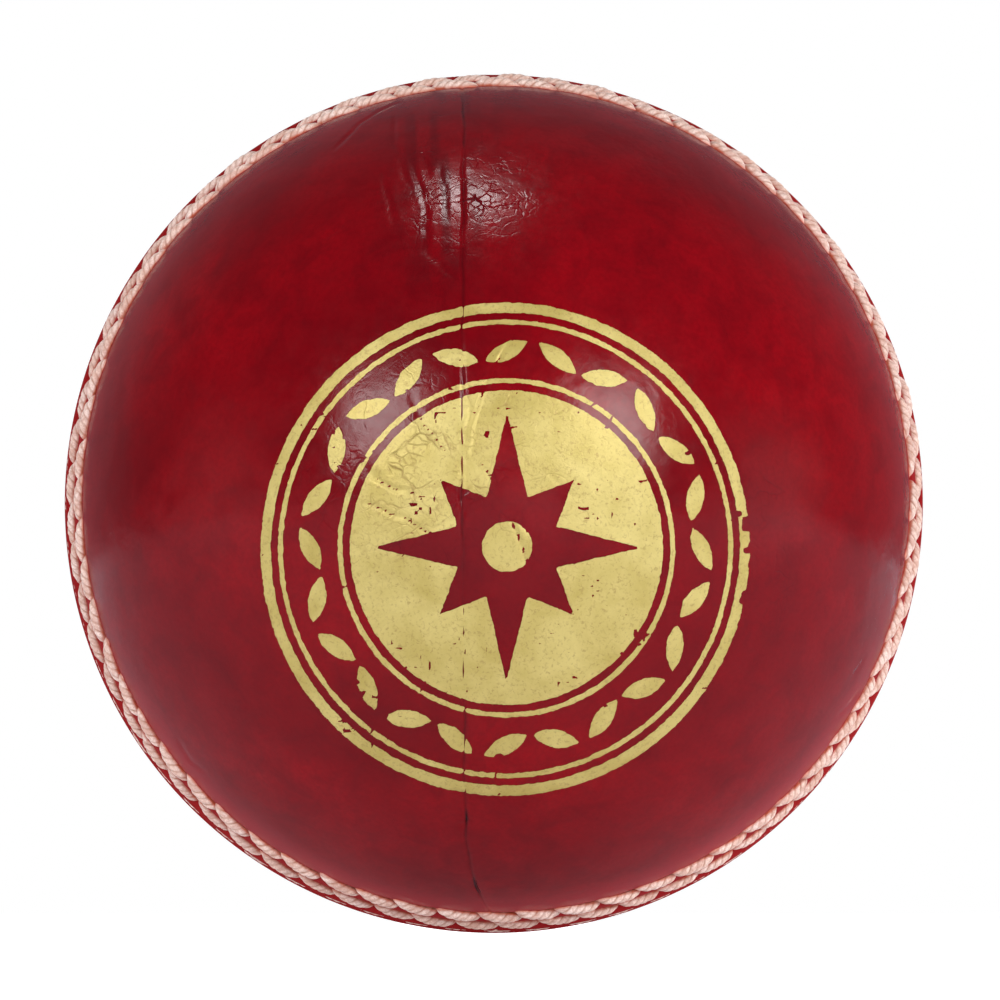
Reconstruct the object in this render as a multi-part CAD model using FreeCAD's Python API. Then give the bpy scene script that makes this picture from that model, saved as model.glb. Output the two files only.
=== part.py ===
import FreeCAD, Part
import math
import os

# Cricket ball, four-piece, hand-stitched. Millimetres.
# The origin is the centre of the ball. The seam lies in the XZ plane, the
# stamped cup faces -Y, and +Z is up.

# ---- driving dimensions -------------------------------------------------
LEATHER_R = 35.80          # outside of the smooth leather, 225 mm round
SEAM_R = 36.45             # crest of the threads and of the welt, 229 mm round
LEATHER_IN_R = 32.00       # flesh side of the leather cups
LINING_IN_R = 31.20        # inside of the thin cup linings
QUILT_RADII = (15.0, 20.2, 22.6, 26.2, 28.6, LINING_IN_R)

STITCHES = 64              # stitches in each of the six rows
THREAD_D = 1.00            # waxed three-ply linen thread
LEG_D = 0.80               # thread where it is drawn down into its hole
ROW_Y = {"inner": 1.70, "middle": 4.85, "outer": 8.45}
ROW_PHASE = {"inner": 0.0, "middle": 0.5, "outer": 0.0}
BED_HALF = 1.34            # half width of the furrow each row lies in
BED_DEPTH = 0.90           # furrow below the smooth leather
RIDGE_RISE = 0.12          # leather pushed up between the furrows
SEAM_EDGE_Y = 9.95         # where the seam band meets the smooth leather
WELT_HALF = 0.30           # half width of the welt at the join
WELT_R = SEAM_R - 0.05

STITCH_HALF = 1.42         # centre of a stitch to the centre of each leg
STITCH_SAG = 0.42          # drop of the thread from its crown to each leg
STITCH_SKEW = 0.45         # each end's shift across the row
LEG_LENGTH = 0.75
HOLE_D = 2.15              # awl hole, shared by two neighbouring stitches
CROSS_D = 1.20             # doubled thread that runs from hole to hole
CROSS_R = {"inner": 34.05, "middle": 33.75, "outer": 33.05}

FRONT_SEAM_X = -3.1        # quarter seam of the stamped cup
REAR_SEAM_Z = -1.5         # quarter seam of the plain cup, a quarter turn on
CLOSING_STITCHES = 15
CLOSING_STEP = 8.8         # degrees between closing stitches
CLOSING_R = 1.50
CLOSING_D = 0.70

FOIL_T = 0.05
FOIL_CENTRE = (0.25, -5.2) # stamp centre on the cup, x and z
FOIL_RINGS = ((19.8, 19.0), (18.4, 18.0), (13.6, 13.2))
FOIL_DISC_R = 12.6
FOIL_STAR_POINTS = 8
FOIL_STAR_R = (10.8, 7.6, 4.3)   # long points, short points, notches
FOIL_HUB_R = 2.0
FOIL_LEAVES = 24
FOIL_LEAF = (3.8, 1.4)     # length and width
FOIL_LEAF_RING_R = 15.80
FOIL_LEAF_LEAN = 25.0      # degrees either side of the ring, in turn

BIG = 100.0
V = FreeCAD.Vector
ORIGIN = V(0, 0, 0)
X_AXIS = V(1, 0, 0)
Y_AXIS = V(0, 1, 0)
Z_AXIS = V(0, 0, 1)
OUTWARD = {"front": -1, "rear": 1}
ROWS = ("outer", "middle", "inner")


def export(name, shape):
    shape.exportStep("parts/" + name + ".step")


def shell(outer_r, inner_r):
    return Part.makeSphere(outer_r).cut(Part.makeSphere(inner_r))


def half_space(axis, sign, at=0.0):
    """A large block that fills one side of the plane axis = at."""
    low = [-BIG, -BIG, -BIG]
    size = [2 * BIG, 2 * BIG, 2 * BIG]
    size[axis] = BIG
    low[axis] = at if sign > 0 else at - BIG
    return Part.makeBox(size[0], size[1], size[2], V(*low))


def around(shape, degrees):
    """A copy turned about the polar axis, clockwise as seen from the stamp."""
    turned = shape.copy()
    turned.rotate(ORIGIN, Y_AXIS, degrees)
    return turned


def row_angles(row, shift=0.0):
    step = 360.0 / STITCHES
    return [(k + ROW_PHASE[row] + shift) * step for k in range(STITCHES)]


# ---- quilted core -------------------------------------------------------
def make_quilt():
    export("core_nucleus", Part.makeSphere(QUILT_RADII[0]))
    for number, (low, high) in enumerate(((0, 1), (2, 3), (4, 5)), start=1):
        layer = shell(QUILT_RADII[high], QUILT_RADII[low])
        export("yarn_winding_%d" % number, layer)
    export("cork_layer_1", cork_layer(QUILT_RADII[1], QUILT_RADII[2], 0.0))
    export("cork_layer_2", cork_layer(QUILT_RADII[3], QUILT_RADII[4], 45.0))


def cork_layer(inner_r, outer_r, turn):
    """Eight cork slips that close into one shell, as separate solids."""
    whole = shell(outer_r, inner_r)
    slips = []
    for sx in (-1, 1):
        for sy in (-1, 1):
            for sz in (-1, 1):
                slip = whole.common(half_space(0, sx))
                slip = slip.common(half_space(1, sy)).common(half_space(2, sz))
                slip.rotate(ORIGIN, Z_AXIS, turn)
                slip.rotate(ORIGIN, X_AXIS, turn)
                slips.append(slip)
    return Part.makeCompound(slips)


# ---- leather cups -------------------------------------------------------
def on_sphere(radius, y):
    return V(math.sqrt(radius * radius - y * y), y, 0)


def seam_profile(side):
    """Edges of the seam band from the welt out to the smooth leather."""
    s = OUTWARD[side]
    stops = [V(WELT_R, 0, 0), V(WELT_R, s * WELT_HALF, 0)]
    edges = [Part.makeLine(stops[0], stops[1])]
    last = stops[1]
    ridge_r = LEATHER_R + RIDGE_RISE
    for row in ("inner", "middle", "outer"):
        y = ROW_Y[row]
        near = on_sphere(ridge_r, s * (y - BED_HALF))
        bottom = on_sphere(LEATHER_R - BED_DEPTH, s * y)
        far = on_sphere(ridge_r, s * (y + BED_HALF))
        if row == "outer":
            far = on_sphere(LEATHER_R, s * SEAM_EDGE_Y)
        edges.append(Part.makeLine(last, near))
        edges.append(Part.Arc(near, bottom, far).toShape())
        last = far
    return edges, last


def leather_cup(side):
    """One hemispherical cup of leather before it is cut into quarters."""
    s = OUTWARD[side]
    edges, edge_point = seam_profile(side)
    middle_y = s * LEATHER_R * math.sin(math.radians(50))
    pole = V(0, s * LEATHER_R, 0)
    edges.append(Part.Arc(edge_point, on_sphere(LEATHER_R, middle_y), pole).toShape())
    inner_pole = V(0, s * LEATHER_IN_R, 0)
    edges.append(Part.makeLine(pole, inner_pole))
    inner_middle = on_sphere(LEATHER_IN_R, s * LEATHER_IN_R * math.sin(math.radians(45)))
    inner_edge = V(LEATHER_IN_R, 0, 0)
    edges.append(Part.Arc(inner_pole, inner_middle, inner_edge).toShape())
    edges.append(Part.makeLine(inner_edge, V(WELT_R, 0, 0)))
    face = Part.Face(Part.Wire(edges))
    cup = face.revolve(ORIGIN, Y_AXIS, 360)
    if cup.Volume < 0:
        cup.reverse()
    return cup


def awl_holes(side):
    """The holes of all three rows of one cup: down from the bed, then across."""
    s = OUTWARD[side]
    holes = []
    for row in ROWS:
        radius, y = CROSS_R[row], ROW_Y[row]
        across = Part.makeCylinder(CROSS_D / 2 + 0.03, y, V(radius, 0, 0), V(0, s, 0))
        foot = V(radius, s * y, 0)
        outward = V(radius, s * y, 0).normalize()
        base = foot - outward * (CROSS_D / 2)
        down = Part.makeCylinder(HOLE_D / 2, 4.0, base, outward)
        hole = across.fuse(down).removeSplitter()
        for angle in row_angles(row, 0.5):
            holes.append(around(hole, angle))
    return holes


def closing_row(side, minor_r):
    """Closing stitches along one quarter seam: half rings on the flesh side."""
    offset = FRONT_SEAM_X if side == "front" else REAR_SEAM_Z
    reach = math.sqrt(LEATHER_IN_R ** 2 - offset ** 2)
    inside = Part.makeSphere(LEATHER_IN_R)
    stitches = []
    for k in range(CLOSING_STITCHES):
        turn = (k - (CLOSING_STITCHES - 1) / 2) * CLOSING_STEP
        # The ring's plane holds the direction across the quarter seam.
        if side == "front":
            stitch = Part.makeTorus(CLOSING_R, minor_r, V(offset, -reach, 0), Z_AXIS)
            stitch.rotate(ORIGIN, X_AXIS, turn)
        else:
            stitch = Part.makeTorus(CLOSING_R, minor_r, V(0, reach, offset), X_AXIS)
            stitch.rotate(ORIGIN, Z_AXIS, turn)
        stitches.append(stitch.cut(inside))
    return stitches


def make_leather():
    quarters = {
        "front": (("leather_front_left", half_space(0, -1, FRONT_SEAM_X)),
                  ("leather_front_right", half_space(0, 1, FRONT_SEAM_X))),
        "rear": (("leather_rear_lower", half_space(2, -1, REAR_SEAM_Z)),
                 ("leather_rear_upper", half_space(2, 1, REAR_SEAM_Z))),
    }
    for side, pieces in quarters.items():
        cup = leather_cup(side)
        holes = awl_holes(side) + closing_row(side, CLOSING_D / 2 + 0.03)
        cup = cup.cut(holes)
        for name, block in pieces:
            export(name, cup.common(block))
        closing = closing_row(side, CLOSING_D / 2)
        export("closing_thread_" + side, Part.makeCompound(closing))
        s = OUTWARD[side]
        lining = shell(LEATHER_IN_R, LINING_IN_R).common(half_space(1, s))
        export("lining_" + side, lining)


# ---- seam threads -------------------------------------------------------
def one_stitch(side, row):
    """A crowned stitch with a leg at each end, at the +X side of the ball."""
    s = OUTWARD[side]
    y = ROW_Y[row]
    outward = V(math.sqrt(LEATHER_R ** 2 - y * y), s * y, 0).normalize()
    sideways = V(-outward.y, outward.x, 0) * s
    crown = outward * (SEAM_R - THREAD_D / 2)
    # Clockwise as seen from the stamp, each stitch drifts away from the join.
    along = V(0, 0, -1) * STITCH_HALF + sideways * STITCH_SKEW
    low = crown - outward * STITCH_SAG
    ends = (low - along, low + along)
    path = Part.Wire(Part.Arc(ends[0], crown, ends[1]).toShape())
    start = path.Edges[0].tangentAt(path.Edges[0].FirstParameter)
    ring = Part.Wire(Part.makeCircle(THREAD_D / 2, ends[0], start))
    stitch = path.makePipeShell([ring], True, True)
    for end in ends:
        stitch = stitch.fuse(Part.makeSphere(THREAD_D / 2, end))
        stitch = stitch.fuse(Part.makeCylinder(LEG_D / 2, LEG_LENGTH, end, outward * -1))
    return stitch


def make_rows():
    for side in ("front", "rear"):
        for row in ROWS:
            stitch = one_stitch(side, row)
            group = [around(stitch, angle) for angle in row_angles(row)]
            export("stitches_%s_%s" % (side, row), Part.makeCompound(group))


def make_cross_threads():
    """Doubled threads that tie the two cups together under the seam."""
    for row in ROWS:
        length = 2 * ROW_Y[row]
        start = V(CROSS_R[row], -ROW_Y[row], 0)
        thread = Part.makeCylinder(CROSS_D / 2, length, start, Y_AXIS)
        group = [around(thread, angle) for angle in row_angles(row, 0.5)]
        export("cross_threads_" + row, Part.makeCompound(group))


# ---- foil stamp ---------------------------------------------------------
def foil_column(wire):
    """A flat outline drawn on the stamp's plane, extruded through the cup."""
    face = Part.Face(wire)
    return face.extrude(V(0, -2 * LEATHER_R, 0))


def foil_disc(radius):
    centre = V(FOIL_CENTRE[0], 0, FOIL_CENTRE[1])
    return foil_column(Part.Wire(Part.makeCircle(radius, centre, Y_AXIS)))


def foil_star():
    """The window in the disc: a star whose long and short points alternate."""
    points = []
    for k in range(2 * FOIL_STAR_POINTS):
        turn = math.pi * k / FOIL_STAR_POINTS
        tip = FOIL_STAR_R[(k // 2) % 2]
        radius = FOIL_STAR_R[2] if k % 2 else tip
        points.append(V(FOIL_CENTRE[0] + radius * math.sin(turn), 0,
                        FOIL_CENTRE[1] + radius * math.cos(turn)))
    return foil_column(Part.makePolygon(points + [points[0]]))


def foil_leaf(index):
    """One leaf of the wreath, two arcs that meet in points."""
    half, wide = FOIL_LEAF[0] / 2, FOIL_LEAF[1] / 2
    tips = (V(-half, 0, 0), V(half, 0, 0))
    sides = [Part.Arc(tips[0], V(0, 0, z), tips[1]).toShape() for z in (wide, -wide)]
    leaf = Part.Wire(sides)
    leaf.rotate(ORIGIN, Y_AXIS, FOIL_LEAF_LEAN * (1 if index % 2 else -1))
    leaf.translate(V(0, 0, FOIL_LEAF_RING_R))
    leaf.rotate(ORIGIN, Y_AXIS, 360.0 * index / FOIL_LEAVES)
    leaf.translate(V(FOIL_CENTRE[0], 0, FOIL_CENTRE[1]))
    return foil_column(leaf)


def make_stamp():
    skin = shell(LEATHER_R + FOIL_T, LEATHER_R)
    pieces = []
    for outer, inner in FOIL_RINGS:
        pieces.append(skin.common(foil_disc(outer)).cut(foil_disc(inner)))
    pieces.append(skin.common(foil_disc(FOIL_DISC_R)).cut(foil_star()))
    pieces.append(skin.common(foil_disc(FOIL_HUB_R)))
    for index in range(FOIL_LEAVES):
        pieces.append(skin.common(foil_leaf(index)))
    export("stamp_foil", Part.makeCompound(pieces))


os.makedirs("parts", exist_ok=True)
make_quilt()
make_leather()
make_rows()
make_cross_threads()
make_stamp()
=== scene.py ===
import math

import bpy
import numpy as np
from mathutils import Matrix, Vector


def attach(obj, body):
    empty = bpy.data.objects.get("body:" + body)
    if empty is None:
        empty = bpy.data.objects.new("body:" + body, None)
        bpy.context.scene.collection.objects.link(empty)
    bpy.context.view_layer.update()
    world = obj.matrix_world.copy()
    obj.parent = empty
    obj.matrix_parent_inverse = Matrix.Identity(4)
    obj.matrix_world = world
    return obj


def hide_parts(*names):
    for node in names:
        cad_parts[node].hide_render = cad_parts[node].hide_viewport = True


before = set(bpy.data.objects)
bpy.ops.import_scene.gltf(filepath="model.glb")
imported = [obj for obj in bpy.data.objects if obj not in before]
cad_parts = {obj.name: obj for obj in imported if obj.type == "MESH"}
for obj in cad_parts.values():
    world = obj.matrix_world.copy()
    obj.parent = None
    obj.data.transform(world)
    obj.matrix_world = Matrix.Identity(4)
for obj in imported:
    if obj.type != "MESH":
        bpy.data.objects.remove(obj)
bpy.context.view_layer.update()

# Looks of the four-piece cricket ball. Lengths below are in millimetres unless a
# comment says otherwise, and new_mesh turns them into metres. The stamped cup
# faces -Y, and +Z is up.
MM = 0.001

# ---- driving dimensions ---------------------------------------------------
LEATHER_R = 35.80
LEATHER_IN_R = 32.02
SEAM_R = 36.45        # nominal crest of the seam, which the ball stands on
WELT_R = 36.32        # top of the welt where the two cups meet
WELT_HALF = 0.34
STITCHES = 64         # in each row
ROW_Y = {"inner": 1.70, "middle": 4.85, "outer": 8.45}
ROW_PHASE = {"inner": 0.0, "middle": 0.5, "outer": 0.0}   # in stitches, round the ball
BED_FLOOR = 0.24      # half width of a furrow's flat floor
BED_HALF = 0.66
BED_DEPTH = 0.40
BAND_EDGE_Y = 9.9
STAIN_EDGE_Y = 9.75
STAIN_FADE = 0.70
RUB_AND_SHEEN_EDGE_Y = 14.5
RIDGES = ((3.25, 0.48, 1.15), (6.65, 0.10, 1.2))   # how far out, rise, half width
THREAD_R = 0.56
THREAD_TOP_R = {"inner": 36.27, "middle": 36.37, "outer": 36.37}
PLY_PITCH = 1.95      # length of one turn of the thread's twist
STITCH_REACH = 1.98   # half length of a stitch
STITCH_SKEW = 0.66    # how far each end of a stitch slants out of its row
FOIL_CENTRE = (0.25, -5.2)
FOIL_LIFT = 0.035
CRACK_HALF = 0.11

# Mesh fineness.
LEATHER_ROWS = 396
INSIDE_ROWS, INSIDE_COLUMNS = 60, 40
STITCH_STATIONS, STITCH_AROUND = 34, 18
FOIL_STEP = 0.17
EMPTY_AREA = 1e-5     # mm2, the smallest quad that is kept

FRONT_SEAM_KNOTS = ((-36.0, 0.3), (-34.7, -0.5), (-32.5, -1.9), (-28.6, -2.75), (-24.0, -3.0),
                    (0.0, -3.4), (20.0, -3.2), (34.0, -2.85), (36.0, -2.8))
REAR_SEAM_Z = -1.5
NICKS = ((-26.9, 0.75), (-32.4, 0.85))   # z and half length of the open places


# ---- repeatable noise -----------------------------------------------------
LATTICE_PRIMES = (73856093, 19349663, 83492791)
SEED_PRIME = 668265263
MIX_PRIMES = (2246822519, 3266489917)
WORD = 0xFFFFFFFF
TOP_VALUE = 0xFFFFFF


def corner_values(i, j, k, seed):
    """A repeatable number from 0 to 1 for each corner of a whole-number lattice."""
    a, b, c = LATTICE_PRIMES
    h = (i * a) ^ (j * b) ^ (k * c) ^ (seed * SEED_PRIME)
    h &= WORD
    h = ((h ^ (h >> 15)) * MIX_PRIMES[0]) & WORD
    h = ((h ^ (h >> 13)) * MIX_PRIMES[1]) & WORD
    return ((h ^ (h >> 16)) & TOP_VALUE) / float(TOP_VALUE)


def noise(p, seed=0):
    """Smooth value noise from -1 to 1 at points p, with features one unit across."""
    base = np.floor(p).astype(np.int64)
    f = p - base
    f = f * f * f * (f * (f * 6 - 15) + 10)
    total = np.zeros(len(p))
    for dx in (0, 1):
        wx = f[:, 0] if dx else 1 - f[:, 0]
        for dy in (0, 1):
            wy = f[:, 1] if dy else 1 - f[:, 1]
            for dz in (0, 1):
                wz = f[:, 2] if dz else 1 - f[:, 2]
                value = corner_values(base[:, 0] + dx, base[:, 1] + dy, base[:, 2] + dz, seed)
                total += wx * wy * wz * value
    return total * 2 - 1


def fractal(p, octaves, seed=0):
    """Noise with octaves layers, each twice as fine and half as strong as the last."""
    total = np.zeros(len(p))
    for octave in range(octaves):
        total += 0.5 ** octave * noise(p * 2 ** octave, seed + octave)
    return total


def smoothstep(low, high, x):
    """0 at low, 1 at high, and a smooth ramp between; low may be the larger."""
    t = np.clip((x - low) / (high - low), 0, 1)
    return t * t * (3 - 2 * t)


def bump(x, width):
    """A rounded hill, 1 at x = 0 and 0 beyond width."""
    t = np.clip(1 - (x / width) ** 2, 0, 1)
    return t * t


# ---- meshes ---------------------------------------------------------------
def new_mesh(name, verts, faces, material, nodes, attributes):
    """A smooth-shaded object from arrays, riding on the ball, in place of nodes."""
    mesh = bpy.data.meshes.new(name)
    mesh.vertices.add(len(verts))
    mesh.vertices.foreach_set("co", (np.asarray(verts) * MM).astype(np.float32).ravel())
    faces = np.asarray(faces)
    corners = faces.shape[1]
    mesh.loops.add(faces.size)
    mesh.loops.foreach_set("vertex_index", faces.astype(np.int32).ravel())
    mesh.polygons.add(len(faces))
    mesh.polygons.foreach_set("loop_start", np.arange(0, faces.size, corners, dtype=np.int32))
    mesh.polygons.foreach_set("use_smooth", np.ones(len(faces), dtype=bool))
    mesh.update(calc_edges=True)
    for key, values in attributes.items():
        layer = mesh.attributes.new(key, "FLOAT", "POINT")
        layer.data.foreach_set("value", np.asarray(values).astype(np.float32))
    mesh.materials.append(material)
    obj = bpy.data.objects.new(name, mesh)
    bpy.context.scene.collection.objects.link(obj)
    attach(obj, "root")
    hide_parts(*nodes)


def grid_faces(rows, columns, first=0, wrap=False):
    """Quads of a grid of rows x columns vertices that starts at index first."""
    across = columns if wrap else columns - 1
    i, j = np.meshgrid(np.arange(rows - 1), np.arange(across), indexing="ij")
    a = first + i * columns + j
    b = first + i * columns + (j + 1) % columns
    return np.stack([a, b, b + columns, a + columns], axis=-1).reshape(-1, 4)


def drop_empty(verts, faces):
    """Leaves out quads that have collapsed to nothing near the ends of a lune."""
    p = verts[faces]
    area = np.linalg.norm(np.cross(p[:, 2] - p[:, 0], p[:, 3] - p[:, 1]), axis=1)
    return faces[area > EMPTY_AREA]


# ---- the shape of the leather ---------------------------------------------
def front_seam_x(z):
    """Where the stamped cup's quarter seam runs, with a slight wander."""
    knots = np.array(FRONT_SEAM_KNOTS)
    line = np.interp(z, knots[:, 0], knots[:, 1])
    return line + 0.05 * np.sin(z * 0.9) + 0.035 * np.sin(z * 2.3 + 1)


def rear_seam_z(x):
    """Where the plain cup's quarter seam runs."""
    return REAR_SEAM_Z + 0.10 * np.sin(x * 0.35) + 0.04 * np.sin(x * 2.1)


CREASE_LINE_HALF = 0.16
CREASE_LIP_HALF = 0.40
CREASES = (
    # x and z of each end on the stamped cup, how far it bows, depth
    ((-8.6, 32.0), (-7.2, 24.5), 0.5, 0.075),
    ((-7.4, 27.5), (-6.3, 18.0), -0.6, 0.085),
    ((-6.6, 31.0), (-5.6, 25.0), 0.3, 0.055),
    ((-6.4, 20.5), (-3.6, 16.6), 0.5, 0.080),
    ((-9.4, 26.5), (-8.6, 21.0), 0.3, 0.045),
    ((-5.2, 27.0), (-4.4, 21.5), -0.2, 0.050),
    ((-14.8, 20.4), (-12.9, 21.8), 0.2, 0.050),
    ((-13.9, 28.2), (-7.7, 33.2), -0.5, 0.055),
    ((-3.3, 10.5), (-1.9, -2.5), 0.4, 0.040),
    ((-4.1, 3.5), (-3.3, -8.0), -0.4, 0.045),
    ((-12.5, 2.5), (-9.0, 0.2), 0.3, 0.035),
    ((3.2, 1.2), (6.8, -1.6), 0.3, 0.035),
    ((28.2, -18.3), (30.4, -15.9), 0.3, 0.060),
    ((29.2, -15.2), (30.5, -13.2), 0.2, 0.045),
    ((20.5, -28.2), (23.6, -25.6), 0.3, 0.045),
    ((-3.6, -27.4), (-2.2, -27.0), 0.1, 0.070),
    ((-3.9, -24.6), (-2.0, -25.2), 0.1, 0.060),
    ((-26.5, -20.0), (-24.0, -23.0), 0.4, 0.045),
    ((-11.1, 1.0), (-5.6, -1.2), 0.5, 0.085),
    ((-11.6, -1.6), (-4.9, -4.8), -0.4, 0.080),
    ((0.6, 11.5), (-2.9, 1.9), 0.7, 0.070),
    ((-2.7, 2.4), (2.2, -8.6), -0.8, 0.080),
    ((0.4, -1.5), (5.5, -7.6), 0.5, 0.065),
    ((-7.5, 7.6), (-4.3, 2.0), 0.4, 0.070),
)


def creases(p):
    """Height change of the listed creases: a fine dark line between soft lips."""
    change = np.zeros(len(p))
    front = p[:, 1] < -4
    x, z = p[front, 0], p[front, 2]
    part = np.zeros(len(x))
    wander = 0.16 * noise(np.stack([x, z, 0 * x], axis=1) * 0.9, 71)
    for (x0, z0), (x1, z1), bow, depth in CREASES:
        dx, dz = x1 - x0, z1 - z0
        length = math.hypot(dx, dz)
        along = ((x - x0) * dx + (z - z0) * dz) / length
        t = along / length
        off = ((x - x0) * dz - (z - z0) * dx) / length
        off = off - bow * 4 * t * (1 - t) + wander
        fade = smoothstep(-0.02, 0.18, t) * smoothstep(1.02, 0.8, t)
        lips = 0.25 * np.exp(-(off / CREASE_LIP_HALF) ** 2)
        line = 1.5 * np.exp(-(off / CREASE_LINE_HALF) ** 2)
        part += fade * depth * (lips - line)
    change[front] = part
    return change


CRACKLE_PATCHES = (
    # x and z of the middle on the stamped cup, half width, half height, strength
    (-1.2, 24.6, 3.3, 3.4, 0.95),
    (-5.0, 24.0, 2.6, 8.0, 0.45),
    (-6.0, 1.0, 9.0, 7.0, 0.60),
    (21.5, -4.0, 2.5, 7.0, 0.45),
)


def crackle_strength(p):
    """How far the polish has crazed: strongest over the top and beside the creases."""
    strength = np.zeros(len(p))
    for x, z, wide, high, most in CRACKLE_PATCHES:
        far = ((p[:, 0] - x) / wide) ** 2 + ((p[:, 2] - z) / high) ** 2
        strength = np.maximum(strength, most * np.exp(-far))
    return strength * (p[:, 1] < 0)


def smudge_strength(p):
    """Where handling has darkened the leather, in upright streaks under the top."""
    near = np.exp(-((p[:, 0] + 4.6) / 3.6) ** 2) * smoothstep(13.0, 23.0, p[:, 2])
    streaks = smoothstep(-0.25, 0.55, noise(p * np.array([1.1, 0.1, 0.13]), 81))
    return near * streaks * (p[:, 1] < 0)


def row_waves(theta, row):
    """0 at the holes of a row and 1 under the middle of each stitch."""
    turn = theta * STITCHES / (2 * math.pi) - ROW_PHASE[row]
    return 0.5 + 0.5 * np.cos(2 * math.pi * turn)


def rub_and_sheen_strength(p):
    """How far the polish is rubbed off beside the seam, most of all underneath; the same mask
    paints a pale reflection of the floor into the leather's colour.
    """
    beside = smoothstep(RUB_AND_SHEEN_EDGE_Y, BAND_EDGE_Y, np.abs(p[:, 1]))
    return beside * (0.15 + 0.75 * smoothstep(-4.0, -26.0, p[:, 2]))


def seam_band(y, theta, p):
    """Furrows, ridges and welt of the seam, over the smooth ball."""
    change = (WELT_R - LEATHER_R) * bump(y, WELT_HALF * 2)
    for ridge_y, rise, half_width in RIDGES:
        change += rise * bump(y - ridge_y, half_width)
    for row, row_y in ROW_Y.items():
        depth = BED_DEPTH * (1.30 - 0.30 * row_waves(theta, row))
        change -= depth * (1 - smoothstep(BED_FLOOR, BED_HALF, np.abs(y - row_y)))
    # Leather drawn down a little beside the outer row, scalloped from hole to hole.
    pull = 0.02 * (1 - row_waves(theta, "outer"))
    uneven = 1 + 0.5 * noise(p * 0.11, 31)
    return change - pull * uneven * np.exp(-((y - BAND_EDGE_Y) / 0.9) ** 2)


def rim_wrinkles(y, theta, p):
    """Fine stretch wrinkles that run beside the seam band."""
    strength = smoothstep(10.4, 12.0, y) * smoothstep(21.0, 12.0, y)
    patch = smoothstep(-0.45, 0.6, noise(p * 0.14, 41))
    q = np.stack([np.cos(theta) * 7.0, np.sin(theta) * 7.0, y * 1.15], axis=1)
    q[:, 2] += 0.6 * noise(p * 0.25, 43)
    lines = 1 - np.abs(fractal(q, 2, 44)) * 1.6
    return -0.012 * strength * patch * np.clip(lines, 0, 1) ** 3


def leather_radius(d):
    """Distance of the leather's outside from the centre, along directions d."""
    p = d * LEATHER_R
    y = np.abs(p[:, 1])
    theta = np.arctan2(-d[:, 2], d[:, 0])
    r = np.full(len(d), LEATHER_R)
    smooth = smoothstep(9.0, 14.0, y)
    r += smooth * (0.085 * noise(p * 0.085, 11) + 0.030 * noise(p * 0.22, 12))
    r += smooth * 0.010 * fractal(p * 0.7, 2, 13)
    r += seam_band(y, theta, p)
    r += rim_wrinkles(y, theta, p)
    r += creases(p)
    return r + closing_groove(p) * smoothstep(0.5, 3.0, y)


def seam_gap(p):
    """Distance from the quarter seam of the cup that each point is on."""
    front = p[:, 1] < 0
    return np.where(front, p[:, 0] - front_seam_x(p[:, 2]), p[:, 2] - rear_seam_z(p[:, 0]))


def seam_opening(p):
    """How far the quarter seam has come open along its length, from 0 to 1."""
    opening = 0.10 + 0.30 * smoothstep(-0.3, 0.5, noise(p * 0.35, 51))
    front = p[:, 1] < 0
    opening += 0.14 * smoothstep(-20.0, -26.0, p[:, 2]) * front
    for z, half_length in NICKS:
        opening = np.maximum(opening, front * np.exp(-((p[:, 2] - z) / half_length) ** 2))
    return opening


def closing_groove(p):
    """The quarter seam: two rounded edges that meet in a fine crack."""
    gap = seam_gap(p)
    change = -(0.03 + 0.15 * seam_opening(p)) * np.exp(-(gap / 0.16) ** 2)
    change -= 0.020 * np.exp(-(gap / 0.9) ** 2)
    return change + 0.016 * noise(p * 0.8, 52) * np.exp(-(gap / 1.6) ** 2)


# ---- leather quarters -----------------------------------------------------
def spaced(total, fine_start, coarse, fine_end, start_zone, end_zone):
    """Stations from 0 to 1 along an arc, closer together near both ends."""
    stations = [0.0]
    while stations[-1] < total:
        at = stations[-1]
        if at < start_zone:
            step = fine_start
        elif at > total - end_zone:
            step = fine_end
        else:
            step = min(coarse, fine_start + (at - start_zone) * 0.25,
                       fine_end + max(0.0, total - end_zone - at) * 0.25)
        stations.append(at + step)
    return np.array(stations) / stations[-1]


def lune(along, middle, edge, side, edge_line, columns, rows):
    """Directions over a quarter of the sphere, from its quarter seam to the join.

    along runs from one end of the quarter seam to the other, middle points at
    the pole, and edge, on that side, at the join. edge_line gives the quarter
    seam's place along edge, at a place along the quarter seam.
    """
    alpha = np.linspace(-math.pi / 2, math.pi / 2, rows)[:, None]
    rho = np.maximum(LEATHER_R * np.cos(alpha), 1e-4)
    seam = np.arcsin(np.clip(edge_line(LEATHER_R * np.sin(alpha)) / rho, -1, 1))
    phi = seam + (side * math.pi / 2 - seam) * columns[None, :]
    d = (np.sin(alpha)[..., None] * along + np.cos(alpha)[..., None]
         * (np.sin(phi)[..., None] * edge + np.cos(phi)[..., None] * middle))
    return d.reshape(-1, 3)


def cut_edges(outer, rows, columns, count):
    """Walls of the leather's thickness, at the quarter seam and at the join."""
    verts, faces = [], []
    for column, flip in ((0, True), (columns - 1, False)):
        rim = outer.reshape(rows, columns, 3)[:, column]
        unit = rim / np.linalg.norm(rim, axis=1)[:, None]
        wall = np.concatenate([rim, unit * LEATHER_IN_R])
        strip = grid_faces(2, rows, count)
        faces.append(strip if flip else strip[:, ::-1])
        verts.append(wall)
        count += len(wall)
    return verts, faces


def leather_looks(verts):
    """What the leather's material needs to know at each vertex."""
    return {"stand": np.linalg.norm(verts, axis=1) - LEATHER_R,
            "stain": smoothstep(STAIN_EDGE_Y, STAIN_EDGE_Y - STAIN_FADE, np.abs(verts[:, 1])),
            "crackle": crackle_strength(verts),
            "smudge": smudge_strength(verts),
            # rub: polish rubbed off, a mask that also carries a painted reflection of the floor
            "rub_and_sheen": rub_and_sheen_strength(verts),
            # crack: painted shade in the quarter seam where it has come open
            "crack": seam_opening(verts) * np.exp(-(seam_gap(verts) / CRACK_HALF) ** 2)}


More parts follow.
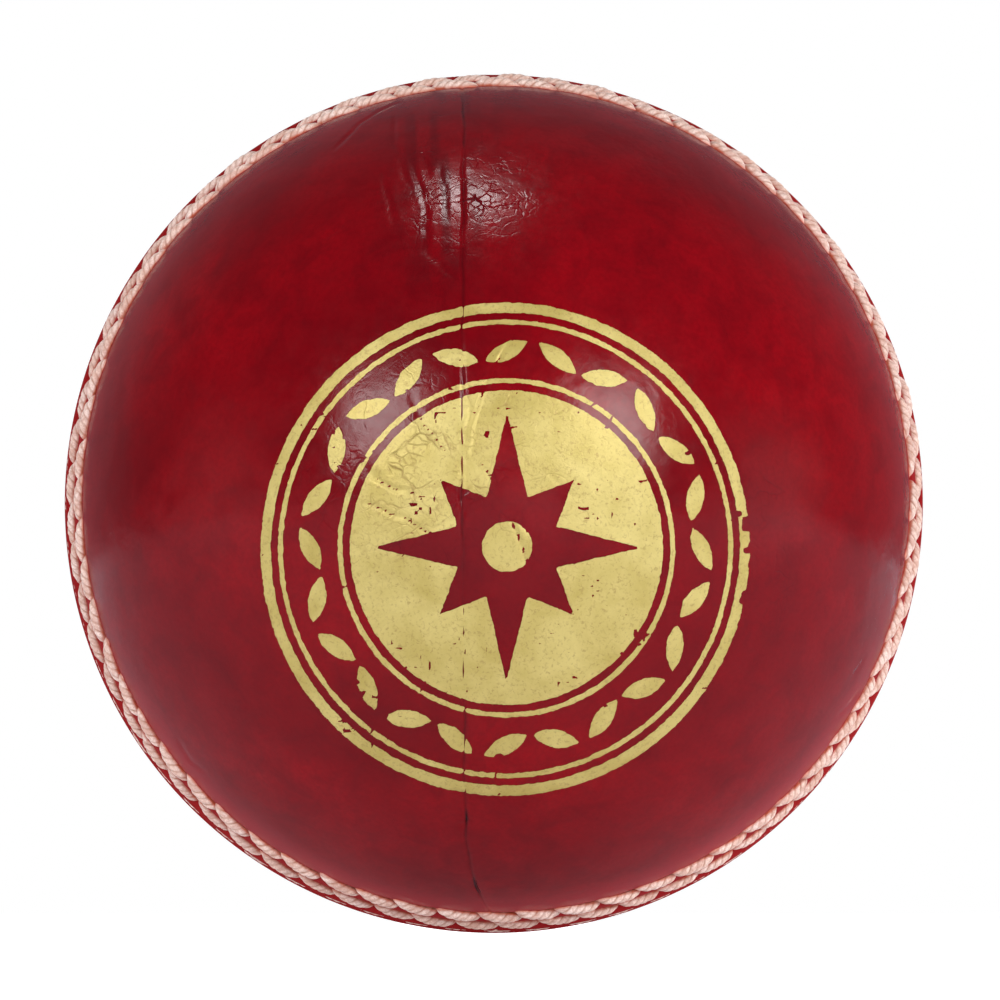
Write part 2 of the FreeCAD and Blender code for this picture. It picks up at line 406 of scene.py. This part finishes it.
def leather_quarter(name, along, middle, edge, side, edge_line):
    """Outside, inside and cut edges of one leather quarter, as one object."""
    columns = spaced(56.0, 0.07, 0.34, 0.165, 0.45, 10.6)
    d = lune(along, middle, edge, side, edge_line, columns, LEATHER_ROWS)
    outer = d * leather_radius(d)[:, None]
    coarse = np.linspace(0, 1, INSIDE_COLUMNS)
    inner = lune(along, middle, edge, side, edge_line, coarse, INSIDE_ROWS) * LEATHER_IN_R
    inside = grid_faces(INSIDE_ROWS, INSIDE_COLUMNS, len(outer))[:, ::-1]
    walls, wall_faces = cut_edges(outer, LEATHER_ROWS, len(columns), len(outer) + len(inner))
    verts = np.concatenate([outer, inner] + walls)
    faces = [grid_faces(LEATHER_ROWS, len(columns)), inside] + wall_faces
    faces = drop_empty(verts, np.concatenate(faces))
    turned = np.dot(np.cross(along, edge), middle) * side
    if turned > 0:
        faces = faces[:, ::-1]
    new_mesh(name, verts, faces, MATERIALS["leather"], [name],
             leather_looks(verts))


def make_leather():
    x, y, z = np.eye(3)
    leather_quarter("leather_front_right", z, -y, x, 1, front_seam_x)
    leather_quarter("leather_front_left", z, -y, x, -1, front_seam_x)
    leather_quarter("leather_rear_upper", x, y, z, 1, rear_seam_z)
    leather_quarter("leather_rear_lower", x, y, z, -1, rear_seam_z)


# ---- twisted threads ------------------------------------------------------
def ply_outline(psi):
    """Outline of three plies laid together, from 0 in a groove to 1 on a crown."""
    return np.sqrt(np.abs(np.cos(1.5 * psi)))


def tube(centre, up, side, radius, twist):
    """A thread along centre (n x 3), with its plies turned by twist at each station."""
    psi = np.linspace(0, 2 * math.pi, STITCH_AROUND, endpoint=False)[None, :]
    ply = ply_outline(psi - twist[:, None])
    r = radius[:, None] * (0.74 + 0.26 * ply)
    ring = (centre[:, None, :] + r[..., None] * (np.cos(psi)[..., None] * up[:, None, :]
                                                 + np.sin(psi)[..., None] * side[:, None, :]))
    return ring.reshape(-1, 3), ply.ravel()


def stitch_axes(turn, latitude, sign):
    """Unit vectors out of the ball, ahead along the row and away from the join."""
    out = np.array([math.cos(latitude) * math.cos(turn), sign * math.sin(latitude),
                    -math.cos(latitude) * math.sin(turn)])
    ahead = np.array([-math.sin(turn), 0, -math.cos(turn)])
    beside = np.cross(ahead, out)
    return out, ahead, beside if sign < 0 else -beside


def one_stitch(rng, k, row, sign):
    """Stitch k of a row: a bowed, slanted thread that dips into a hole at each end."""
    turn = (k + ROW_PHASE[row] + rng.normal(0, 0.035)) * 2 * math.pi / STITCHES
    out, ahead, away = stitch_axes(turn, math.asin(ROW_Y[row] / LEATHER_R), sign)
    reach = STITCH_REACH * (1 + rng.normal(0, 0.025))
    skew = STITCH_SKEW * (1 + rng.normal(0, 0.16))
    crown = THREAD_TOP_R[row] - THREAD_R + rng.normal(0, 0.03)
    shift = rng.normal(0, 0.05)
    u = np.linspace(-1, 1, STITCH_STATIONS)
    tail = np.where(u > 0, u, 0)
    head = np.where(u < 0, -u, 0)
    height = (crown - 0.10 * u ** 2 - 0.20 * tail ** 2 - 0.75 * tail ** 6
              - 0.95 * head ** 7 - (reach * u) ** 2 / (2 * LEATHER_R))
    across = skew * (u + 0.25 * tail ** 2) - 0.10 * head ** 4 + shift
    radius = THREAD_R * (1 - 0.12 * u ** 2 - 0.34 * tail ** 3 - 0.16 * head ** 5)
    radius = radius * (1 + rng.normal(0, 0.04))
    centre = (out[None, :] * height[:, None] + ahead[None, :] * (reach * u)[:, None]
              + away[None, :] * across[:, None])
    run = np.gradient(centre, axis=0)
    run /= np.linalg.norm(run, axis=1)[:, None]
    side = np.cross(run, out[None, :])
    side /= np.linalg.norm(side, axis=1)[:, None]
    twist = -2 * math.pi * reach * u / PLY_PITCH + rng.uniform(0, 2 * math.pi)
    return tube(centre, np.cross(side, run), side, radius, twist)


def stitch_row(name, face, row, seed):
    """All the stitches of one row, as one object."""
    rng = np.random.default_rng(seed)
    sign = -1 if face == "front" else 1
    rings, plies, faces = [], [], []
    for k in range(STITCHES):
        ring, ply = one_stitch(rng, k, row, sign)
        faces.append(grid_faces(STITCH_STATIONS, STITCH_AROUND, k * len(ring), wrap=True)[:, ::-1])
        rings.append(ring)
        plies.append(ply)
    verts = np.concatenate(rings)
    looks = {"ply": np.concatenate(plies), "lift": np.linalg.norm(verts, axis=1) - LEATHER_R}
    new_mesh(name, verts, np.concatenate(faces), MATERIALS["thread"], [name],
             looks)


def make_seam():
    """The six rows, each with a random seed of its own, counted from 1."""
    rows = [(face, row) for face in ("front", "rear") for row in ROW_Y]
    for seed, (face, row) in enumerate(rows, 1):
        stitch_row("stitches_%s_%s" % (face, row), face, row, seed)


# ---- foil stamp -----------------------------------------------------------
FOIL_RINGS = ((19.4, 0.42), (18.2, 0.20), (13.4, 0.20))   # mid radius, half width
FOIL_DISC_R = 12.6
FOIL_STAR_R = (10.8, 7.6, 4.3)   # long tips, short tips and notches
FOIL_STAR_POINTS = 8
FOIL_HUB_R = 2.0
FOIL_HALF = 20.3                 # half side of the square that the foil is cut from
FOIL_LEAVES = 24
FOIL_LEAF = (3.8, 1.4)           # length and width
FOIL_LEAF_RING_R = 15.8
FOIL_LEAF_LEAN = math.radians(25)


def star_depth(x, z):
    """How far inside the star window a point is, negative outside."""
    sector = math.pi / FOIL_STAR_POINTS
    angle = np.arctan2(x, z)
    k = np.floor(angle / (4 * sector) + 0.5)
    a = np.abs(angle - k * 4 * sector)
    r = np.hypot(x, z)
    px, pz = r * np.sin(a), r * np.cos(a)
    long_tip = np.array([0.0, FOIL_STAR_R[0]])
    notch = FOIL_STAR_R[2] * np.array([math.sin(sector), math.cos(sector)])
    short_tip = FOIL_STAR_R[1] * np.array([math.sin(2 * sector), math.cos(2 * sector)])
    depths = []
    for start, end in ((long_tip, notch), (notch, short_tip)):
        run = (end - start) / np.linalg.norm(end - start)
        depths.append((px - start[0]) * run[1] - (pz - start[1]) * run[0])
    return np.maximum(depths[0], depths[1])


def leaf_depth(x, z):
    """How far inside the nearest leaf of the wreath a point is."""
    step = 2 * math.pi / FOIL_LEAVES
    angle = np.arctan2(x, z)
    k = np.round(angle / step)
    a = angle - k * step
    r = np.hypot(x, z)
    px = r * np.sin(a)
    pz = r * np.cos(a) - FOIL_LEAF_RING_R
    lean = np.where(np.mod(k, 2) == 1, FOIL_LEAF_LEAN, -FOIL_LEAF_LEAN)
    qx = px * np.cos(lean) - pz * np.sin(lean)
    qz = px * np.sin(lean) + pz * np.cos(lean)
    half, wide = FOIL_LEAF[0] / 2, FOIL_LEAF[1] / 2
    radius = (half ** 2 + wide ** 2) / (2 * wide)
    return radius - np.hypot(qx, np.abs(qz) + radius - wide)


def foil_mask(x, z):
    """Positive where there is foil, in millimetres from the edge."""
    r = np.hypot(x, z)
    mask = np.minimum(FOIL_DISC_R - r, -star_depth(x, z))
    mask = np.maximum(mask, FOIL_HUB_R - r)
    for middle, half in FOIL_RINGS:
        mask = np.maximum(mask, half - np.abs(r - middle))
    return np.maximum(mask, leaf_depth(x, z))


def worn_mask(x, z):
    """The foil's mask with ragged edges, specks, cracks and the seam's split."""
    q = np.stack([x, z, 0 * x], axis=1)
    mask = foil_mask(x, z)
    mask = mask + 0.045 * fractal(q * 2.2, 3, 61) + 0.02 * noise(q * 6, 62)
    specks = noise(q * 2.6, 63) - 0.93 + 0.25 * noise(q * 0.3, 64)
    mask = np.minimum(mask, -specks)
    worn = smoothstep(16.5, 19.8, x) * smoothstep(-9.0, -3.0, z) * smoothstep(9.0, 3.0, z)
    mask = np.minimum(mask, 0.55 - worn * (0.42 + 0.6 * noise(q * 1.7, 65)))
    gap = x + FOIL_CENTRE[0] - front_seam_x(z + FOIL_CENTRE[1])
    return np.minimum(mask, np.abs(gap) - 0.05 + 0.05 * noise(q * 1.3, 66))


def clip_triangles(points, values, tris):
    """The part of each triangle where values is positive, as triangles."""
    inside = values[tris] > 0
    count = inside.sum(axis=1)
    out_points = [points]
    out_tris = [tris[count == 3]]
    first = len(points)
    for kept in (1, 2):
        some = tris[count == kept]
        flags = inside[count == kept]
        odd = np.argmax(flags if kept == 1 else ~flags, axis=1)
        rows = np.arange(len(some))
        a = some[rows, odd]
        b = some[rows, (odd + 1) % 3]
        c = some[rows, (odd + 2) % 3]
        tb = values[a] / (values[a] - values[b])
        tc = values[a] / (values[a] - values[c])
        on_b = points[a] + (points[b] - points[a]) * tb[:, None]
        on_c = points[a] + (points[c] - points[a]) * tc[:, None]
        ib = first + rows
        ic = first + len(some) + rows
        out_points += [on_b, on_c]
        first += 2 * len(some)
        if kept == 1:
            out_tris.append(np.stack([a, ib, ic], axis=1))
        else:
            out_tris.append(np.stack([ib, b, c], axis=1))
            out_tris.append(np.stack([ib, c, ic], axis=1))
    return np.concatenate(out_points), np.concatenate(out_tris)


def make_foil():
    """The foil cut to its worn outline, laid over the leather's own relief."""
    line = np.arange(-FOIL_HALF, FOIL_HALF + FOIL_STEP, FOIL_STEP)
    gx, gz = np.meshgrid(line, line, indexing="xy")
    flat = np.stack([gx.ravel(), gz.ravel()], axis=1)
    quads = grid_faces(len(line), len(line))
    tris = np.concatenate([quads[:, [0, 1, 2]], quads[:, [0, 2, 3]]])
    values = worn_mask(flat[:, 0], flat[:, 1])
    flat, tris = clip_triangles(flat, values, tris)
    used, tris = np.unique(tris, return_inverse=True)
    tris = tris.reshape(-1, 3)
    flat = flat[used]
    x = flat[:, 0] + FOIL_CENTRE[0]
    z = flat[:, 1] + FOIL_CENTRE[1]
    d = np.stack([x, -np.sqrt(LEATHER_R ** 2 - x ** 2 - z ** 2), z], axis=1) / LEATHER_R
    verts = d * (leather_radius(d) + FOIL_LIFT)[:, None]
    new_mesh("stamp_foil", verts, tris, MATERIALS["foil"], ["stamp_foil"],
             {"crackle": crackle_strength(verts)})


# ---- materials ------------------------------------------------------------
def shader(name, base, roughness, **sockets):
    """A new material, its node tree and its Principled shader."""
    material = bpy.data.materials.new(name)
    material.use_nodes = True
    tree = material.node_tree
    principled = tree.nodes["Principled BSDF"]
    principled.inputs["Base Color"].default_value = (*base, 1)
    principled.inputs["Roughness"].default_value = roughness
    for key, value in sockets.items():
        principled.inputs[key.replace("_", " ")].default_value = value
    return material, tree, principled


def add(tree, kind, inputs=None, **settings):
    """A node whose inputs are linked, where given a socket, or set to a value."""
    node = tree.nodes.new(kind)
    for key, value in settings.items():
        setattr(node, key, value)
    for key, value in (inputs or {}).items():
        socket = node.inputs[key]
        if isinstance(value, bpy.types.NodeSocket):
            tree.links.new(value, socket)
        else:
            socket.default_value = value
    return node


def object_coords(tree):
    """Object coordinates in millimetres."""
    place = add(tree, "ShaderNodeTexCoord").outputs["Object"]
    size = (1 / MM, 1 / MM, 1 / MM)
    return add(tree, "ShaderNodeMapping", {"Vector": place, "Scale": size}).outputs["Vector"]


def attribute(tree, name):
    """A number that the mesh carries at each vertex."""
    return add(tree, "ShaderNodeAttribute", attribute_name=name).outputs["Fac"]


def noise_value(tree, coords, scale, detail=2.0, distortion=0.0, roughness=0.5):
    node = add(tree, "ShaderNodeTexNoise", {
        "Vector": coords, "Scale": scale, "Detail": detail,
        "Distortion": distortion, "Roughness": roughness})
    return node.outputs["Fac"]


def ramp(tree, factor, stops):
    """Colours blended along factor; each stop is a position and a colour."""
    node = add(tree, "ShaderNodeValToRGB", {"Fac": factor})
    elements = node.color_ramp.elements
    while len(elements) < len(stops):
        elements.new(0.5)
    for element, (position, colour) in zip(elements, stops):
        element.position = position
        element.color = (*colour, 1)
    return node.outputs["Color"]


def where_low(tree, value, low, high, strength):
    """A mixing factor: strength where value is under low, fading to 0 at high."""
    return ramp(tree, value, ((low, grey(strength)), (high, grey(0))))


def grey(value):
    return (value, value, value)


def mix(tree, factor, a, b, blend="MIX"):
    """Colour a turned into b by factor, each a socket or a value."""
    node = add(tree, "ShaderNodeMix", data_type="RGBA", blend_type=blend)
    for socket, value in ((0, factor), (6, a), (7, b)):
        if isinstance(value, bpy.types.NodeSocket):
            tree.links.new(value, node.inputs[socket])
        else:
            node.inputs[socket].default_value = value if socket == 0 else (*value, 1)
    return node.outputs[2]


def math_node(tree, operation, a, b=0.0, c=0.0):
    return add(tree, "ShaderNodeMath", {0: a, 1: b, 2: c}, operation=operation).outputs[0]


def times(tree, a, b):
    return math_node(tree, "MULTIPLY", a, b)


def spread(tree, value, low, high, out_low=0.0, out_high=1.0):
    """value between low and high, moved to lie between out_low and out_high."""
    node = add(tree, "ShaderNodeMapRange", {
        "Value": value, "From Min": low, "From Max": high,
        "To Min": out_low, "To Max": out_high})
    return node.outputs["Result"]


def bumped(tree, principled, height, distance):
    """Fine relief of the surface, distance millimetres deep."""
    node = add(tree, "ShaderNodeBump", {"Height": height, "Distance": distance * MM,
                                        "Strength": 1.0})
    tree.links.new(node.outputs["Normal"], principled.inputs["Normal"])
    return node.outputs["Normal"]


def crack_lines(tree, coords, scale, width):
    """1 along the cracks of a wandering network, 0 on the cells between them."""
    sway = add(tree, "ShaderNodeTexNoise", {"Vector": coords, "Scale": 0.5, "Detail": 2.0})
    sway = add(tree, "ShaderNodeVectorMath", {0: sway.outputs["Color"], "Scale": 1.6},
               operation="SCALE").outputs["Vector"]
    bent = add(tree, "ShaderNodeVectorMath", {0: coords, 1: sway}).outputs["Vector"]
    edge = add(tree, "ShaderNodeTexVoronoi", {"Vector": bent, "Scale": scale},
               feature="DISTANCE_TO_EDGE").outputs["Distance"]
    return spread(tree, edge, 0.0, width, 1.0, 0.0)


def crackle(tree, coords):
    """Coarse and fine cracks together, faded by the mesh's crackle attribute."""
    coarse = crack_lines(tree, coords, 0.30, 0.035)
    fine = times(tree, crack_lines(tree, coords, 1.05, 0.10), 0.50)
    lines = math_node(tree, "MAXIMUM", coarse, fine)
    patchy = spread(tree, noise_value(tree, coords, 0.45, 2.0), 0.40, 0.60)
    return times(tree, times(tree, lines, patchy), attribute(tree, "crackle"))


def leather_colour(tree, coords, cracks):
    """Mottled crimson, darker in cracks and smudges, paler where rubbed or stained; the seam's
    open crack and the deepest furrows carry painted shade, and the rubbed band a painted pale
    reflection of the floor, strongest underneath.
    """
    cloud = noise_value(tree, coords, 0.055, 3.0, 0.4)
    blotch = noise_value(tree, coords, 0.33, 4.0, 0.6, 0.6)
    fine = noise_value(tree, coords, 2.6, 3.0, 0.0, 0.6)
    base = ramp(tree, cloud, ((0.30, (0.138, 0.0011, 0.0038)), (0.70, (0.239, 0.0016, 0.0052))))
    blotches = ramp(tree, blotch, ((0.42, grey(0)), (0.75, grey(0.55))))
    # painted shade: the deepest parts of the furrows are darkened by their depth
    painted_furrow_shade = spread(tree, attribute(tree, "stand"), -0.16, -0.52)
    for factor, colour in (
            (blotches, (0.085, 0.0011, 0.0036)),
            (where_low(tree, fine, 0.35, 0.60, 0.30), (0.100, 0.0008, 0.0030)),
            (times(tree, cracks, 0.75), (0.018, 0.0020, 0.0040)),
            (times(tree, attribute(tree, "smudge"), 0.6), (0.040, 0.0020, 0.0040)),
            # painted shade: the open crack of the quarter seam, near black
            (attribute(tree, "crack"), (0.008, 0.0015, 0.0025)),
            # painted reflection of the pale floor: paler pink beside the seam, strongest
            # underneath; the same mask thins the coat where the polish is rubbed off
            (times(tree, attribute(tree, "rub_and_sheen"), 0.55), (0.400, 0.0320, 0.0420)),
            (times(tree, attribute(tree, "stain"), 0.8), (0.270, 0.0110, 0.0110)),
            (painted_furrow_shade, (0.150, 0.0080, 0.0050))):
        base = mix(tree, factor, base, colour)
    return base


def leather_height(tree, coords, cracks):
    """Pebbled grain and fine wrinkles, cut by the cracks of the polish."""
    pores = add(tree, "ShaderNodeTexVoronoi", {"Vector": coords, "Scale": 1.9, "Randomness": 1.0},
                feature="SMOOTH_F1").outputs["Distance"]
    wrinkle = noise_value(tree, coords, 1.15, 4.0, 0.9, 0.62)
    height = math_node(tree, "ADD", times(tree, pores, 0.45), times(tree, wrinkle, 0.9))
    return math_node(tree, "SUBTRACT", height, times(tree, cracks, 2.6))


def leather_material():
    """Dyed, waxed and polished cowhide, its polish worn off beside the seam."""
    material, tree, principled = shader(
        "red_leather", (0.30, 0.002, 0.006), 0.50, Coat_Weight=0.75, Coat_Roughness=0.20,
        Coat_IOR=1.45, Specular_IOR_Level=0.0, Sheen_Weight=0.04, Sheen_Roughness=0.5,
        Sheen_Tint=(1.0, 0.36, 0.42, 1.0))
    coords = object_coords(tree)
    cracks = crackle(tree, coords)
    tree.links.new(leather_colour(tree, coords, cracks), principled.inputs["Base Color"])
    worn = math_node(tree, "MAXIMUM", attribute(tree, "stain"),
                     times(tree, attribute(tree, "rub_and_sheen"), 0.45))
    tree.links.new(spread(tree, worn, 0.0, 1.0, 0.75, 0.10), principled.inputs["Coat Weight"])
    normal = bumped(tree, principled, leather_height(tree, coords, cracks), 0.018)
    tree.links.new(normal, principled.inputs["Coat Normal"])
    rough = spread(tree, noise_value(tree, coords, 0.8, 3.0), 0.3, 0.7, 0.16, 0.25)
    tree.links.new(rough, principled.inputs["Coat Roughness"])
    return material


def thread_material():
    """Waxed linen, pale on the ply crowns with painted shade in the grooves between the plies, and
    stained red-brown where it dips.
    """
    material, tree, principled = shader(
        "seam_thread", (0.66, 0.46, 0.38), 0.62, Sheen_Weight=0.25, Sheen_Roughness=0.4,
        Specular_IOR_Level=0.4)
    coords = object_coords(tree)
    patches = noise_value(tree, coords, 0.45, 3.0, 0.3)
    base = ramp(tree, patches, ((0.32, (0.83, 0.600, 0.515)), (0.68, (0.90, 0.730, 0.675))))
    fibres = noise_value(tree, coords, 6.5, 4.0, 0.8, 0.7)
    soiled = noise_value(tree, coords, 1.3, 3.0, 0.5, 0.6)
    low = spread(tree, attribute(tree, "lift"), 0.20, -0.02)
    uneven = spread(tree, noise_value(tree, coords, 0.9, 2.0), 0.35, 0.6, 0.6, 1.0)
    for factor, colour in (
            # painted shade: the grooves between the plies are painted dark red-brown
            (where_low(tree, attribute(tree, "ply"), 0.15, 0.80, 0.95), (0.36, 0.140, 0.080)),
            (where_low(tree, fibres, 0.38, 0.54, 0.60), (0.52, 0.290, 0.210)),
            (where_low(tree, soiled, 0.40, 0.56, 0.48), (0.50, 0.230, 0.165)),
            (times(tree, low, uneven), (0.50, 0.090, 0.040))):
        base = mix(tree, factor, base, colour)
    tree.links.new(base, principled.inputs["Base Color"])
    bumped(tree, principled, fibres, 0.05)
    return material


def foil_material():
    """Pale gold foil pressed into the grain, satin rather than mirror bright."""
    material, tree, principled = shader(
        "gilt_foil", (0.62, 0.52, 0.22), 0.42, Metallic=0.32, Specular_IOR_Level=0.5)
    coords = object_coords(tree)
    cloud = noise_value(tree, coords, 0.25, 4.0, 0.5, 0.6)
    base = ramp(tree, cloud, ((0.30, (0.50, 0.390, 0.105)), (0.72, (0.68, 0.560, 0.200))))
    fine = noise_value(tree, coords, 3.4, 4.0, 0.6, 0.65)
    base = mix(tree, where_low(tree, fine, 0.34, 0.47, 0.55), base, (0.34, 0.220, 0.070))
    cracks = crackle(tree, coords)
    base = mix(tree, cracks, base, (0.24, 0.120, 0.030))
    tree.links.new(base, principled.inputs["Base Color"])
    wrinkle = noise_value(tree, coords, 1.6, 4.0, 1.0, 0.6)
    height = math_node(tree, "SUBTRACT", wrinkle, times(tree, cracks, 2.5))
    bumped(tree, principled, height, 0.034)
    rough = spread(tree, cloud, 0.3, 0.7, 0.36, 0.50)
    tree.links.new(rough, principled.inputs["Roughness"])
    return material


def two_tone(name, plain, roughness, pattern, stops, relief, **sockets):
    """A material whose colour and relief follow one noise pattern."""
    material, tree, principled = shader(name, plain, roughness, **sockets)
    value = noise_value(tree, object_coords(tree), *pattern)
    tree.links.new(ramp(tree, value, stops), principled.inputs["Base Color"])
    bumped(tree, principled, value, relief)
    return material


def cork_material():
    """Speckled cork with rounded granules."""
    material, tree, principled = shader("layer_cork", (0.45, 0.28, 0.15), 0.78)
    coords = object_coords(tree)
    grain = add(tree, "ShaderNodeTexVoronoi", {"Vector": coords, "Scale": 0.9}).outputs["Distance"]
    speck = noise_value(tree, coords, 0.8, 5.0, 0.8, 0.7)
    base = ramp(tree, speck, ((0.32, (0.17, 0.085, 0.040)), (0.45, (0.42, 0.25, 0.13)),
                              (0.75, (0.58, 0.39, 0.22))))
    tree.links.new(base, principled.inputs["Base Color"])
    bumped(tree, principled, grain, 0.12)
    return material


def nucleus_material():
    """Cork granules bound in dark rubber."""
    material, tree, principled = shader("nucleus_cork_rubber", (0.20, 0.12, 0.07), 0.7)
    coords = object_coords(tree)
    cells = add(tree, "ShaderNodeTexVoronoi", {"Vector": coords, "Scale": 0.55})
    cells = cells.outputs["Distance"]
    between = ramp(tree, cells, ((0.30, grey(0)), (0.62, grey(1))))
    base = mix(tree, between, (0.46, 0.29, 0.16), (0.055, 0.040, 0.032))
    base = mix(tree, noise_value(tree, coords, 2.0, 3.0), base, (0.25, 0.15, 0.08), "MULTIPLY")
    tree.links.new(base, principled.inputs["Base Color"])
    bumped(tree, principled, cells, 0.12)
    return material


def hidden_materials():
    """Yarn, cork, lining and closing thread of the pieces inside the cups."""
    return {
        "yarn": two_tone("winding_yarn", (0.62, 0.55, 0.42), 0.85, (1.4, 4.0, 1.2, 0.6),
                         ((0.3, (0.40, 0.33, 0.23)), (0.7, (0.70, 0.62, 0.48))), 0.15,
                         Sheen_Weight=0.3),
        "cork": cork_material(),
        "nucleus": nucleus_material(),
        "lining": two_tone("lining_leather", (0.50, 0.34, 0.22), 0.8, (0.7, 5.0, 0.4, 0.65),
                           ((0.3, (0.36, 0.22, 0.13)), (0.7, (0.58, 0.42, 0.28))), 0.08),
        "closing": two_tone("closing_thread", (0.50, 0.38, 0.26), 0.7, (3.0, 3.0, 0.5),
                            ((0.3, (0.34, 0.23, 0.14)), (0.7, (0.62, 0.49, 0.36))), 0.05)}


def dress(node, material):
    """Gives a CAD node that stays as it is its finished material."""
    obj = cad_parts[node]
    obj.data.materials.clear()
    obj.data.materials.append(material)


def dress_hidden():
    """Gives the pieces inside the cups their materials."""
    for number in (1, 2, 3):
        dress("yarn_winding_%d" % number, MATERIALS["yarn"])
    for number in (1, 2):
        dress("cork_layer_%d" % number, MATERIALS["cork"])
    dress("core_nucleus", MATERIALS["nucleus"])
    for side in ("front", "rear"):
        dress("lining_" + side, MATERIALS["lining"])
        dress("closing_thread_" + side, MATERIALS["closing"])
    for row in ROW_Y:
        dress("cross_threads_" + row, MATERIALS["closing"])


# ---- studio ---------------------------------------------------------------
CAMERA_DISTANCE = 700.0
CAMERA_AZIMUTH = -1.3
CAMERA_ELEVATION = -2.8
CAMERA_SHIFT = (0.0060, 0.0036)
SENSOR_WIDTH = 36.0
BALL_IN_FRAME = 0.862     # width of the ball's outline, as a part of the frame's
FLOOR_HALF = 3.0          # metres
FLOOR_GAP = 0.0002        # metres between the seam's crest and the floor
ROOM_LIGHT = 0.02
WALL_LIGHT = 0.16
FLOOR_GLOW = 0.98
FLOOR_BOUNCE = 0.50

LIGHTS = (
    # name, azimuth, elevation, distance, size, power, mirrored in the polish
    ("key_top", -40, 84, 500, (80, 60), 0.30, True),
    ("key_left", -32, 19, 620, (190, 200), 1.1, True),
    ("key_right", 32, 19, 620, (190, 200), 1.1, True),
    ("side_fill_left", -78, 0, 600, (300, 300), 1.5, False),
    ("side_fill_right", 78, -2, 600, (300, 300), 3.2, False),
    ("back_fill_left", -150, 15, 620, (300, 300), 2.4, False),
    ("back_fill_right", 150, 15, 620, (300, 300), 2.6, False),
    ("front_fill", 6, -2, 950, (500, 500), 7.4, False),
)


def direction(azimuth, elevation):
    """Unit vector from the ball towards a place round it; azimuth 0 is in front."""
    a, e = math.radians(azimuth), math.radians(elevation)
    return np.array([math.sin(a) * math.cos(e), -math.cos(a) * math.cos(e), math.sin(e)])


def aim(obj, place):
    """Puts obj at place, in metres, facing the middle of the ball."""
    obj.location = Vector(place)
    obj.rotation_euler = (-Vector(place)).to_track_quat("-Z", "Y").to_euler()


def softbox(name, azimuth, elevation, distance, size, power, mirrored):
    """A rectangular light aimed at the ball."""
    light = bpy.data.lights.new(name, "AREA")
    light.shape = "RECTANGLE"
    light.size, light.size_y = (side * MM for side in size)
    light.energy = power
    obj = bpy.data.objects.new(name, light)
    bpy.context.scene.collection.objects.link(obj)
    aim(obj, direction(azimuth, elevation) * distance * MM)
    obj.visible_glossy = mirrored


def make_camera():
    """Looks at the stamped cup, from slightly below and left of its middle."""
    data = bpy.data.cameras.new("camera")
    obj = bpy.data.objects.new("camera", data)
    bpy.context.scene.collection.objects.link(obj)
    aim(obj, direction(CAMERA_AZIMUTH, CAMERA_ELEVATION) * CAMERA_DISTANCE * MM)
    data.sensor_width = SENSOR_WIDTH
    half_angle = math.asin(SEAM_R / CAMERA_DISTANCE)
    data.lens = SENSOR_WIDTH * BALL_IN_FRAME / (2 * math.tan(half_angle))
    data.shift_x, data.shift_y = CAMERA_SHIFT
    data.clip_start = 0.01
    bpy.context.scene.camera = obj


def light_path(tree, question):
    """1 for the light rays that question names, 0 for the rest."""
    return add(tree, "ShaderNodeLightPath").outputs[question]


def make_world():
    """A white sweep to look at, and a dim room with a paler wall behind the ball."""
    world = bpy.data.worlds.new("studio")
    world.use_nodes = True
    tree = world.node_tree
    background = tree.nodes["Background"]
    way = add(tree, "ShaderNodeTexCoord").outputs["Generated"]
    behind = add(tree, "ShaderNodeSeparateXYZ", {"Vector": way}).outputs["Y"]
    wall = ramp(tree, spread(tree, behind, -1.0, 1.0),
                ((0.60, grey(ROOM_LIGHT)), (0.88, (WALL_LIGHT, WALL_LIGHT, WALL_LIGHT * 1.15))))
    seen = light_path(tree, "Is Camera Ray")
    tree.links.new(mix(tree, seen, wall, grey(1.0)), background.inputs["Color"])
    bpy.context.scene.world = world


def floor_material():
    """Matt pale paper, lifted to the white of the sweep by a glow the camera sees, and glowing for
    diffuse rays as painted bounce light, soft light sent up onto the ball.
    """
    material, tree, principled = shader("floor_white", (0.47, 0.46, 0.52), 0.9)
    principled.inputs["Emission Color"].default_value = (1, 1, 1, 1)
    # painted bounce light: the floor glows for diffuse rays, lighting the ball like a lamp
    bounce = times(tree, light_path(tree, "Is Diffuse Ray"), FLOOR_BOUNCE)
    glow = math_node(tree, "MULTIPLY_ADD", light_path(tree, "Is Camera Ray"), FLOOR_GLOW, bounce)
    tree.links.new(glow, principled.inputs["Emission Strength"])
    return material


def make_floor():
    """A wide flat sheet just under the seam's crest."""
    floor_mesh = bpy.data.meshes.new("floor")
    r, z = FLOOR_HALF, -SEAM_R * MM - FLOOR_GAP
    floor_mesh.from_pydata([(-r, -r, z), (r, -r, z), (r, r, z), (-r, r, z)], [], [(0, 1, 2, 3)])
    floor = bpy.data.objects.new("floor", floor_mesh)
    bpy.context.scene.collection.objects.link(floor)
    floor_mesh.materials.append(floor_material())


def make_studio():
    """The room, its lights and the floor round the ball."""
    make_world()
    for light in LIGHTS:
        softbox(*light)
    make_floor()
    bpy.context.scene.view_settings.view_transform = "Standard"


MATERIALS = {"leather": leather_material(), "thread": thread_material(), "foil": foil_material()}
MATERIALS.update(hidden_materials())
make_camera()
make_studio()
make_leather()
make_seam()
make_foil()
dress_hidden()
